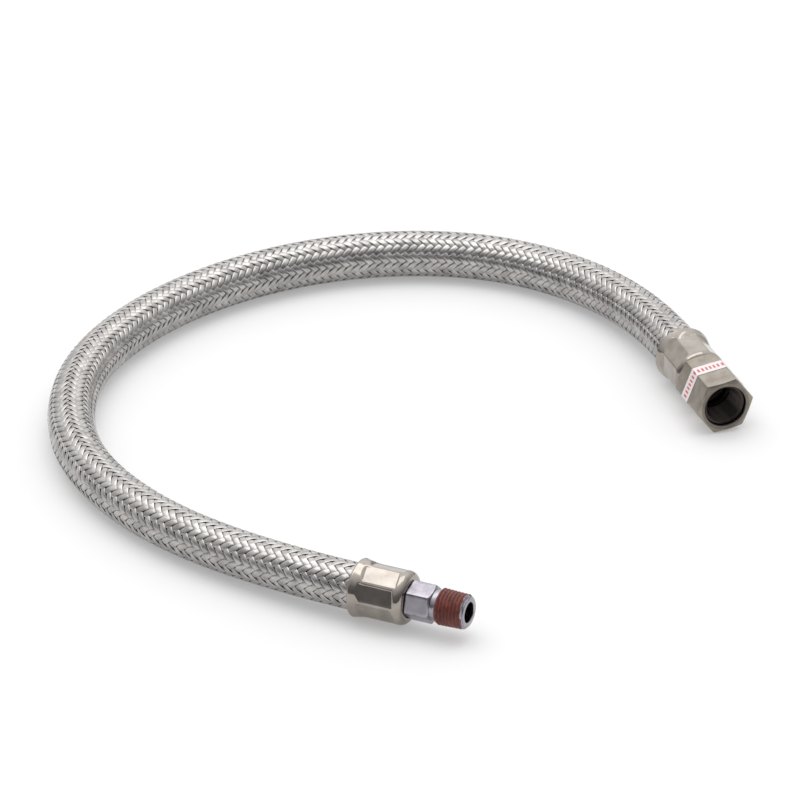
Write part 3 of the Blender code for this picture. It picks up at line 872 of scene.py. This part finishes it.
# %% Male stem
HEX_ROLL = math.radians(-14.6)
HEX_APOTHEM = 6.75 * MM
HEX_START = 22.3 * MM
HEX_END = 32.1 * MM
HEX_CHAMFER = np.linspace(0, 1.1 * MM, 9)
HEX_BACK = (7.5 * MM, 1.5)
HEX_FRONT = (6.5 * MM, 1.5)
RELIEF_END = 34.0 * MM
MALE_END = 45.9 * MM
THREAD_CREST_AT_END = 6.7 * MM
THREAD_HEIGHT = 0.95 * MM
THREAD_STATIONS = 16  # for each turn
THREAD_CLEARANCE = 0.01 * MM  # keeps the last of them behind the end face
THREAD_TAPER = 32  # the crest's radius grows by 1 in 32
TIP_RADIUS = 5.75 * MM
TIP_SLOPE = 1.05
FADE_RADIUS = 6.2 * MM
FADE_SLOPE = 1.6
# The round stations, as (height, radius) in millimetres: neck, relief groove, and then the bore
# from the end face in, and the tail's outside back to the neck.
STEM_NECK = [(20.8, 6.0), (22.2, 6.0), (22.3, 6.05)]
STEM_RELIEF = [(32.1, 6.3), (32.25, 6.15), (33.9, 6.15)]
STEM_BORE = [(45.9, 5.7), (45.9, 4.2), (45.7, 4.0), (25.9, 4.0), (24.9, 3.2), (2.2, 3.2)]
STEM_TAIL = [(2.2, 3.85), (19.4, 3.85), (19.7, 5.4), (20.7, 5.4)]


def thread_crest(z):
    """Radius of the tapered thread's crest, which grows away from the tip."""
    return THREAD_CREST_AT_END + (MALE_END - z) / THREAD_TAPER


def thread_limit(z):
    """What holds the thread in: a cone of about 45 degrees at the tip, and a fade at the neck."""
    cone = TIP_RADIUS + (MALE_END - z) * TIP_SLOPE
    fade_in = FADE_RADIUS + (z - RELIEF_END) * FADE_SLOPE
    return np.minimum(cone, fade_in)


def make_male_stem():
    """Neck and hexagon, relief groove, thread, end face, bore and the barb inside the hose."""
    angle = hexagon_angles(HEX_ROLL)
    hexagon = hexagon_radius(angle, HEX_ROLL, HEX_APOTHEM)
    z = np.arange(RELIEF_END, MALE_END - THREAD_CLEARANCE, PITCH / THREAD_STATIONS)
    depth = thread_wave(z[:, None], angle, RELIEF_END, THREAD_HEIGHT)
    thread = np.minimum(thread_crest(z)[:, None] - depth, thread_limit(z)[:, None])
    rings = [
        plain_rings(STEM_NECK, angle),
        hexagon_bar(HEX_START, HEX_END, hexagon, HEX_CHAMFER, HEX_BACK, HEX_FRONT),
        plain_rings(STEM_RELIEF, angle),
        (z, thread),
        plain_rings(STEM_BORE + STEM_TAIL, angle),
    ]
    piece = ring_piece("turned_male_stem", rings, angle, MALE_RIM, MALE_OUT, zinc, STEMS_BODY)
    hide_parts("male_stem")


make_male_stem()

# %% [markdown]
# ## Thread sealant
#
# The pipe thread comes coated with a dried, red-brown sealing compound. It fills the roots of
# the thread a little and softens its crests, and it stops short of the tip in a ragged edge.
# Painting the thread red would miss that edge. A thin shell that follows the thread's own
# formula, slightly swollen, gives all of it.

# %% Sealant material
# Dried anaerobic pipe sealant: matt, chalky red-brown, clouded over 3 mm and grainy below that.
sealant, tree, shader = new_material("dried_pipe_sealant")
where = add(tree, "ShaderNodeTexCoord")
cloud = add(
    tree,
    "ShaderNodeTexNoise",
    {"Vector": where.outputs["Object"], "Scale": 330.0, "Detail": 5.0, "Roughness": 0.65},
)
tone = add(tree, "ShaderNodeValToRGB", {"Fac": cloud.outputs["Fac"]})
set_ramp(tone, [(0.3, "#5a2924"), (0.55, "#773d34"), (0.8, "#925649")])
relief = add(
    tree,
    "ShaderNodeBump",
    {"Height": cloud.outputs["Fac"], "Strength": 0.5, "Distance": 0.12 * MM},
)
tree.links.new(tone.outputs["Color"], shader.inputs["Base Color"])
tree.links.new(relief.outputs["Normal"], shader.inputs["Normal"])
shader.inputs["Roughness"].default_value = 0.5

# %% Sealant shell
SEALANT_FILM = 0.05 * MM
SEALANT_START = 0.15 * MM  # past the relief groove
SEALANT_STOP = 0.85 * MM  # short of the tip, on average
SEALANT_FILL = 0.85  # share of the thread's depth that still shows
SEALANT_ROOT = 0.8 * MM  # depth at which the roots are full
ROOT_BLEND = 0.12 * MM
EDGE_DROP = 0.5 * MM
EDGE_STEEPNESS = 40
SHELL_INNER = 5.0 * MM
# The ragged edge is a sum of waves round the thread: height in millimetres, waves, and phase.
RAGGED_WAVES = [(0.35, 2, 0.6), (0.25, 5, 2.0), (0.12, 11, 0.0)]
SHELL_ANGLES = 120
SHELL_STATIONS = 130


def make_sealant():
    """A shell over the thread: the thread's radius plus a film that is thicker in the roots."""
    angle = np.linspace(0, 2 * math.pi, SHELL_ANGLES, endpoint=False)
    start = RELIEF_END + SEALANT_START
    wander = sum(size * np.sin(waves * angle + phase) for size, waves, phase in RAGGED_WAVES)
    end = MALE_END - SEALANT_STOP - wander * MM
    steps = np.linspace(0, 1, SHELL_STATIONS)[:, None]
    z = start + (end - start) * steps
    depth = thread_wave(z, angle, RELIEF_END, THREAD_HEIGHT)
    depth = SEALANT_FILL * soft_min(depth, np.full_like(depth, SEALANT_ROOT), ROOT_BLEND)
    film = thread_crest(z) - np.maximum(depth, 0) + SEALANT_FILM
    film = np.minimum(film, thread_limit(z) + 2 * SEALANT_FILM)
    taper = np.clip((1 - steps) * EDGE_STEEPNESS, 0, 1) ** 0.5
    film = film - (1 - taper) * EDGE_DROP
    radius = np.concatenate([film, np.full_like(film, SHELL_INNER)])
    points = turned(np.concatenate([z, z[::-1]]), radius, angle)
    points = lay_down(points, MALE_RIM, MALE_OUT)
    faces = grid_faces(*radius.shape)
    piece = mesh_piece("thread_sealant", points, faces, sealant, STEMS_BODY, sharp=60)


make_sealant()

# %% [markdown]
# ## The swivel nut
#
# The nut is long hexagon bar, bored and threaded from its mouth, and it turns freely on the
# flared stem. A cone takes its six front corners back to a round face, and a widened mouth leads
# into the thread. Its ends and its inside are made by the same rules as the male stem's, and the
# thread is real geometry, because the eye looks straight into the mouth.

# %% Satin steel
# Nickel-plated steel bar with a satin finish: warm grey, with drawn lines under the plating.
# The bore and the faced front end get painted shade, a dark colour that stands for the shade and
# dim reflections deep in the nut. The attribute is 1 in the bore, about half on that end and 0 on
# the plated outside.
# Painted shade: the dark colour mixed into the bore and, by about half, into the front face.
BORE_PAINTED_SHADE = linear("#423d3a")
satin_steel, tree, shader = new_material("satin_plated_steel")
where = add(tree, "ShaderNodeTexCoord")
stretch = add(
    tree,
    "ShaderNodeMapping",
    {"Vector": where.outputs["Object"], "Scale": (1.0, 0.06, 1.0)},
)
drawn = add(
    tree,
    "ShaderNodeTexNoise",
    {"Vector": stretch.outputs["Vector"], "Scale": 2600.0, "Detail": 3.0, "Roughness": 0.6},
)
cloud = add(
    tree,
    "ShaderNodeTexNoise",
    {"Vector": where.outputs["Object"], "Scale": 240.0, "Detail": 4.0},
)
tone = add(tree, "ShaderNodeValToRGB", {"Fac": cloud.outputs["Fac"]})
set_ramp(tone, [(0.3, "#8a837a"), (0.7, "#a59d92")])
# The attribute says how much painted shade each point gets.
bore_shade = add(tree, "ShaderNodeAttribute", attribute_name="bore_shade")
plating_and_shade = add(
    tree,
    "ShaderNodeMix",
    {0: bore_shade.outputs["Fac"], 6: tone.outputs["Color"], 7: BORE_PAINTED_SHADE},
    data_type="RGBA",
)
gloss = add(
    tree,
    "ShaderNodeMapRange",
    {
        "Value": drawn.outputs["Fac"],
        "From Min": 0.3,
        "From Max": 0.7,
        "To Min": 0.28,
        "To Max": 0.42,
    },
)
relief = add(
    tree,
    "ShaderNodeBump",
    {"Height": drawn.outputs["Fac"], "Strength": 0.3, "Distance": 0.02 * MM},
)
tree.links.new(plating_and_shade.outputs[2], shader.inputs["Base Color"])
tree.links.new(gloss.outputs["Result"], shader.inputs["Roughness"])
tree.links.new(relief.outputs["Normal"], shader.inputs["Normal"])
shader.inputs["Metallic"].default_value = 1.0

# %% Nut and swivel stem
NUT_ROLL = math.radians(38.0)
NUT_APOTHEM = 10.32 * MM
NUT_BACK = 22.4 * MM
NUT_FRONT = 47.4 * MM
NUT_CHAMFER = np.linspace(0, 1.5 * MM, 12)
NUT_BACK_END = (9.9 * MM, 1 / math.tan(math.radians(30)))
NUT_FRONT_END = (9.65 * MM, 1 / math.tan(math.radians(20)))
NUT_CREST = 7.16 * MM
NUT_THREAD_HEIGHT = 0.75 * MM
NUT_THREAD_FROM = 1.9 * MM  # behind the front face
NUT_THREAD_TO = 14.5 * MM
NUT_THREAD_STATIONS = 14  # for each turn
# Share of the painted shade on the front face.
FACE_PAINTED_SHADE = 0.45
# Height and radius in millimetres: the mouth, and behind the thread the relief, the back wall
# and the hole that the stem passes through.
NUT_MOUTH = [(47.4, 8.75), (47.15, 8.45), (46.8, 8.3), (45.6, 8.2)]
NUT_DEEP = [(32.8, 7.2), (32.5, 7.25), (25.7, 7.25), (25.7, 6.3), (22.5, 6.3), (22.4, 6.45)]


def make_nut():
    """Outside from back to front, mouth, thread, relief, back wall and the stem's hole."""
    angle = hexagon_angles(NUT_ROLL)
    hexagon = hexagon_radius(angle, NUT_ROLL, NUT_APOTHEM)
    outside = hexagon_bar(NUT_BACK, NUT_FRONT, hexagon, NUT_CHAMFER, NUT_BACK_END, NUT_FRONT_END)
    step = -PITCH / NUT_THREAD_STATIONS
    z = np.arange(NUT_FRONT - NUT_THREAD_FROM, NUT_FRONT - NUT_THREAD_TO, step)
    thread = NUT_CREST + thread_wave(z[:, None], angle, NUT_FRONT, NUT_THREAD_HEIGHT)
    rings = [outside, plain_rings(NUT_MOUTH, angle), (z, thread), plain_rings(NUT_DEEP, angle)]
    piece = ring_piece(
        "hexagon_swivel_nut", rings, angle, SWIVEL_RIM, SWIVEL_OUT, satin_steel, NUT_BODY
    )
    # Painted shade: about half on the front face and all of it in the bore.
    share = np.zeros(sum(len(heights) for heights, _ in rings), dtype=np.float32)
    front = len(outside[0])
    share[front - 1 : front + 1] = FACE_PAINTED_SHADE
    share[front + 1 :] = 1.0
    layer = piece.data.attributes.new("bore_shade", "FLOAT", "POINT")
    layer.data.foreach_set("value", np.repeat(share, len(angle)))
    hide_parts("swivel_nut")


make_nut()
stem_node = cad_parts["swivel_stem"]
for slot in stem_node.material_slots:
    slot.material = satin_steel

# %% [markdown]
# ## The band on the nut
#
# A printed film is wrapped round the nut's flats. It is white with a plain row of red bars. An
# image could carry the bars, but a few nodes draw them sharp at any size. The pattern follows
# the film, so it is drawn in UV space: u runs once round the nut.

# %% Label film
# Printed vinyl film, white with a soft gloss, and red ink.
BARS_ROUND = 42
BAR_SHARE = 0.52  # how much of its place a bar fills
ROW_HALF = 0.2  # half of the row's height, as a share of the film's width
film, tree, shader = new_material("printed_vinyl_film")
where = add(tree, "ShaderNodeTexCoord")
split = add(tree, "ShaderNodeSeparateXYZ", {"Vector": where.outputs["UV"]})
count_up = add(
    tree, "ShaderNodeMath", {0: split.outputs["X"], 1: float(BARS_ROUND)}, operation="MULTIPLY"
)
saw = add(tree, "ShaderNodeMath", {0: count_up.outputs[0]}, operation="FRACT")
bar = add(tree, "ShaderNodeMath", {0: saw.outputs[0], 1: BAR_SHARE}, operation="LESS_THAN")
from_middle = add(
    tree, "ShaderNodeMath", {0: split.outputs["Y"], 1: 0.5}, operation="SUBTRACT"
)
off = add(tree, "ShaderNodeMath", {0: from_middle.outputs[0]}, operation="ABSOLUTE")
row = add(tree, "ShaderNodeMath", {0: off.outputs[0], 1: ROW_HALF}, operation="LESS_THAN")
ink = add(tree, "ShaderNodeMath", {0: bar.outputs[0], 1: row.outputs[0]}, operation="MULTIPLY")
tone = add(tree, "ShaderNodeValToRGB", {"Fac": ink.outputs[0]})
set_ramp(tone, [(0.3, "#e6dfe2"), (0.7, "#cf6a60")])
tree.links.new(tone.outputs["Color"], shader.inputs["Base Color"])
shader.inputs["Roughness"].default_value = 0.42

# %% Label band
LABEL_BACK_FROM_FRONT = 11.2 * MM
LABEL_WIDTH = 6.0 * MM
LABEL_UNDERSIDE = 0.03 * MM  # how far it stands off the nut
LABEL_OUTSIDE = 0.12 * MM
LABEL_CORNER_CUT = 0.05 * MM


def make_label():
    """A thin ring of film: the hexagon pushed out by the air gap, and again by its thickness."""
    angle = hexagon_angles(NUT_ROLL)
    flat = hexagon_radius(angle, NUT_ROLL, NUT_APOTHEM, LABEL_CORNER_CUT)
    under, over = flat + LABEL_UNDERSIDE, flat + LABEL_OUTSIDE
    near = NUT_FRONT - LABEL_BACK_FROM_FRONT
    far = near - LABEL_WIDTH
    z = np.array([near, near, far, far])[:, None]
    grid = turned(z, np.stack([under, over, over, under]), angle)
    points = lay_down(grid, SWIVEL_RIM, SWIVEL_OUT)
    faces = grid_faces(len(z), len(angle))
    around = np.append((angle - angle[0]) / (2 * math.pi), 1.0)
    u = np.stack([around[:-1], around[1:], around[1:], around[:-1]], axis=-1)
    v = np.array([[0, 0, 0, 0], [0, 0, 1, 1], [1, 1, 1, 1], [1, 1, 0, 0]], dtype=float)
    uv = np.stack([np.tile(u, (len(z), 1)), np.repeat(v, len(angle), axis=0)], axis=-1)
    piece = mesh_piece("printed_band", points, faces, film, NUT_BODY, sharp=25, uv=uv)
    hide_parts("nut_label")


make_label()

# %% [markdown]
# ## Floor and studio light
#
# Bright metal shows its surroundings, so the studio matters as much as the material. A photograph
# of a real room could light it, but a plain one keeps the colours as they are written. A pale
# floor gives the light undersides, a large soft lamp overhead gives the bright tops, and the
# dim room between them gives the dark bands that make polished metal look polished.

# %% Floor
# The paper is lit from below too, like a light table, for the camera and in what metal mirrors:
# white of strength 1 is mixed in by three tenths, which takes that much off each shadow.
PAPER_GLOW = 0.3
FLOOR_HALF = 2.5
FLOOR_DROP = 0.1 * MM
floor_paint, tree, shader = new_material("matt_white_paper")
shader.inputs["Base Color"].default_value = linear("#eeeeee")
shader.inputs["Roughness"].default_value = 0.9
shader.inputs["Specular IOR Level"].default_value = 0.0
ray = add(tree, "ShaderNodeLightPath")
seen = add(
    tree,
    "ShaderNodeMath",
    {0: ray.outputs["Is Camera Ray"], 1: ray.outputs["Is Glossy Ray"]},
    operation="ADD",
)
seen = add(
    tree,
    "ShaderNodeMath",
    {0: seen.outputs[0], 1: ray.outputs["Is Transmission Ray"]},
    operation="ADD",
    use_clamp=True,
)
glow_share = add(
    tree, "ShaderNodeMath", {0: seen.outputs[0], 1: PAPER_GLOW}, operation="MULTIPLY"
)
glow = add(tree, "ShaderNodeEmission", {"Color": linear("#ffffff"), "Strength": 1.0})
paper = add(
    tree,
    "ShaderNodeMixShader",
    {0: glow_share.outputs[0], 1: shader.outputs["BSDF"], 2: glow.outputs["Emission"]},
)
tree.links.new(paper.outputs["Shader"], tree.nodes["Material Output"].inputs["Surface"])

corners = np.array([(-1, -1, 0), (1, -1, 0), (1, 1, 0), (-1, 1, 0)]) * FLOOR_HALF
floor_mesh = bpy.data.meshes.new("studio_floor")
floor_mesh.from_pydata((corners - [0, 0, FLOOR_DROP]).tolist(), [], [(0, 1, 2, 3)])
floor_mesh.materials.append(floor_paint)
floor = bpy.data.objects.new("studio_floor", floor_mesh)
bpy.context.scene.collection.objects.link(floor)
print("floor:", 2 * FLOOR_HALF, "m square")

# %% Room
# The room is bright behind and above the hose and dim in front of it, as in a studio where the
# softbox hangs over the table and its back edge. The ramp runs over the cosine between a
# direction and the middle of that bright part.
BRIGHT_ELEVATION = math.radians(60.0)
ROOM_STRENGTH = 1.5
ROOM_DIM = [(0.0, "#5e5e60"), (0.35, "#666668"), (0.5, "#747476"), (0.625, "#a6a6a7")]
ROOM_BRIGHT = [(0.75, "#c4c4c4"), (0.85, "#dedede"), (0.925, "#fafafa"), (1.0, "#ffffff")]
away_from_camera = np.array([math.sin(CAMERA_TURN), math.cos(CAMERA_TURN), 0.0])
bright = away_from_camera * math.cos(BRIGHT_ELEVATION)
bright[2] = math.sin(BRIGHT_ELEVATION)
world = bpy.data.worlds.new("studio_room")
bpy.context.scene.world = world
world.use_nodes = True
tree = world.node_tree
where = add(tree, "ShaderNodeTexCoord")
cosine = add(
    tree,
    "ShaderNodeVectorMath",
    {0: where.outputs["Generated"], 1: tuple(bright)},
    operation="DOT_PRODUCT",
)
share = add(
    tree,
    "ShaderNodeMapRange",
    {"Value": cosine.outputs["Value"], "From Min": -1.0, "From Max": 1.0},
)
sky = add(tree, "ShaderNodeValToRGB", {"Fac": share.outputs["Result"]})
set_ramp(sky, ROOM_DIM + ROOM_BRIGHT)
background = tree.nodes["Background"]
tree.links.new(sky.outputs["Color"], background.inputs["Color"])
background.inputs["Strength"].default_value = ROOM_STRENGTH
print("brightest towards", np.round(bright, 2))

# %% Lamp


def soft_lamp(name, place, aim, size, power):
    """A rectangular lamp that stands at place and faces aim."""
    data = bpy.data.lights.new(name, "AREA")
    data.shape = "RECTANGLE"
    data.size, data.size_y = size
    data.energy = power
    lamp = bpy.data.objects.new(name, data)
    away = unit(np.array(place) - np.array(aim))
    side = unit(np.cross([0.0, 1.0, 0.0], away))
    turn = np.eye(4)
    turn[:3, :3] = np.stack([side, np.cross(away, side), away], axis=1)
    turn[:3, 3] = place
    lamp.matrix_world = Matrix(turn.tolist())
    bpy.context.scene.collection.objects.link(lamp)
    print(f"{name}: {power} W, {size[0]} by {size[1]} m")


soft_lamp(
    "overhead_softbox",
    place=(-0.05, 0.35, 1.5),
    aim=(-0.02, 0.08, 0.0),
    size=(1.6, 1.1),
    power=7.0,
)

# %% [markdown]
# ## Last steps
#
# The colours should come out as they were written, so the view transform is Standard.

# %% Finish
bpy.context.scene.view_settings.view_transform = "Standard"
